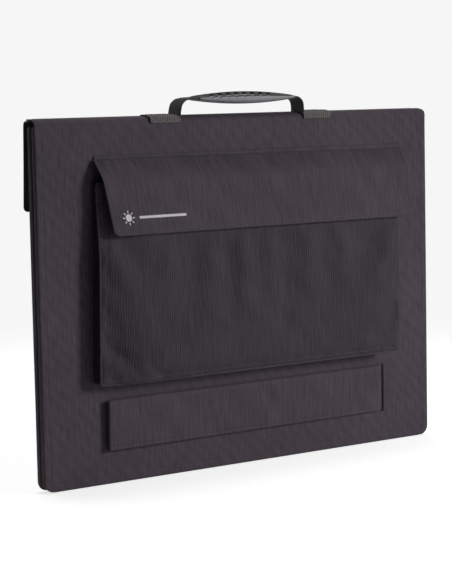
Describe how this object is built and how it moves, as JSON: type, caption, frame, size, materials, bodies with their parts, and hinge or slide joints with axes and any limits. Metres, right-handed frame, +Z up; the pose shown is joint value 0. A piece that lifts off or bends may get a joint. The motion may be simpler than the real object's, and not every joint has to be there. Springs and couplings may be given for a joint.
{
  "type": "folding solar suitcase",
  "caption": "Fabric-covered folding solar panel case with a carry handle, a closing flap, a gusseted front pocket and a fold-out support leg on each leaf.",
  "frame": {"origin": "middle of the flat underside of the spine that the closed case stands on", "axes": "+X along the width to the carrier's right when the pocket faces them, -Y out of the pocket side, +Z up towards the handle"},
  "size_m": [0.54, 0.0558, 0.4234],
  "materials": {
    "case_fabric": "black coated polyester, plain weave",
    "border_fabric": "black coated polyester border",
    "webbing": "woven polypropylene webbing, charcoal",
    "hook_and_loop": "black hook and loop tape",
    "grip_rubber": "moulded soft grip, dark grey",
    "board_plastic": "twin-wall polypropylene board",
    "backsheet": "white laminate backsheet",
    "silicon": "monocrystalline silicon, blue-black",
    "tinned_ribbon": "tinned copper ribbon",
    "clear_film": "clear front film",
    "box_plastic": "black moulded plastic",
    "controller_plastic": "grey moulded plastic",
    "display": "liquid crystal display window",
    "circuit_board": "green circuit board",
    "terminal_green": "green terminal block",
    "screw_steel": "zinc-plated screws",
    "button_rubber": "black silicone button",
    "print_ink": "pale grey screen print"
  },
  "bodies": {
    "front_leaf": {"front_cover": "case_fabric", "front_backing_board": "board_plastic", "front_backsheet": "backsheet", "front_solar_cells": "silicon", "front_cell_ribbons": "tinned_ribbon", "front_top_film": "clear_film", "front_inner_frame": "border_fabric", "spine_fabric": "case_fabric", "pocket_gusset": "case_fabric", "pocket_front_panel": "case_fabric", "pocket_seam_welt": "case_fabric", "pocket_loop_tape": "hook_and_loop", "front_leg_anchor": "case_fabric", "front_leg_loop_tape": "hook_and_loop", "junction_box_base": "box_plastic", "junction_box_lid": "box_plastic", "bypass_diodes": "box_plastic", "cable_glands": "box_plastic", "controller_case": "controller_plastic", "controller_board": "circuit_board", "controller_lid": "controller_plastic", "controller_display": "display", "controller_lid_screws": "screw_steel", "controller_terminal_block": "terminal_green", "controller_terminal_screws": "screw_steel"},
    "back_leaf": {"back_cover": "case_fabric", "back_backing_board": "board_plastic", "back_backsheet": "backsheet", "back_solar_cells": "silicon", "back_cell_ribbons": "tinned_ribbon", "back_top_film": "clear_film", "back_inner_frame": "border_fabric", "back_leg_anchor": "case_fabric", "back_leg_loop_tape": "hook_and_loop", "closure_loop_tape": "hook_and_loop"},
    "closure_top": {"closure_top_strip": "case_fabric", "closure_batten": "board_plastic", "handle_patch_left": "webbing", "handle_patch_right": "webbing"},
    "closure_tail": {"closure_tail_panel": "case_fabric", "closure_hook_tape": "hook_and_loop"},
    "handle": {"handle_webbing": "webbing", "handle_grip": "grip_rubber"},
    "pocket_flap": {"pocket_flap_panel": "case_fabric", "pocket_hook_tape": "hook_and_loop", "pocket_flap_mark": "print_ink"},
    "front_leg": {"front_leg_sleeve": "case_fabric", "front_leg_board": "board_plastic", "front_leg_hook_tape": "hook_and_loop"},
    "back_leg": {"back_leg_sleeve": "case_fabric", "back_leg_board": "board_plastic", "back_leg_hook_tape": "hook_and_loop"},
    "menu_button": {"controller_menu_button": "button_rubber"},
    "load_button": {"controller_load_button": "button_rubber"}
  },
  "joints": [
    {"name": "panel_fold", "type": "hinge", "parent": "front_leaf", "child": "back_leaf", "pos_m": [0, 0, 0], "axis": [-1, 0, 0], "range_deg": [0, 179], "deforming": ["spine_fabric", "closure_tail_panel", "closure_hook_tape"]},
    {"name": "closure_lift", "type": "hinge", "parent": "front_leaf", "child": "closure_top", "pos_m": [0, -0.008, 0.3914], "axis": [1, 0, 0], "range_deg": [0, 95]},
    {"name": "closure_peel", "type": "hinge", "parent": "closure_top", "child": "closure_tail", "pos_m": [0, 0.0146, 0.3946], "axis": [1, 0, 0], "range_deg": [0, 90]},
    {"name": "handle_swing", "type": "hinge", "parent": "closure_top", "child": "handle", "pos_m": [0, 0.003, 0.4006], "axis": [-1, 0, 0], "range_deg": [-62, 62], "deforming": ["handle_webbing"]},
    {"name": "pocket_flap_open", "type": "hinge", "parent": "front_leaf", "child": "pocket_flap", "pos_m": [0, -0.0089, 0.352], "axis": [-1, 0, 0], "range_deg": [0, 120]},
    {"name": "front_leg_swing", "type": "hinge", "parent": "front_leaf", "child": "front_leg", "pos_m": [0.1945, -0.01, 0.0655], "axis": [0, 0, 1], "range_deg": [0, 100]},
    {"name": "back_leg_swing", "type": "hinge", "parent": "back_leaf", "child": "back_leg", "pos_m": [0.1945, 0.01, 0.0655], "axis": [0, 0, -1], "range_deg": [0, 100]},
    {"name": "menu_button_press", "type": "slide", "parent": "front_leaf", "child": "menu_button", "axis": [0, 1, 0], "range_m": [0, 0.0008], "stiffness_N_per_m": 400, "springref_m": -0.001},
    {"name": "load_button_press", "type": "slide", "parent": "front_leaf", "child": "load_button", "axis": [0, 1, 0], "range_m": [0, 0.0008], "stiffness_N_per_m": 400, "springref_m": -0.001}
  ]
}
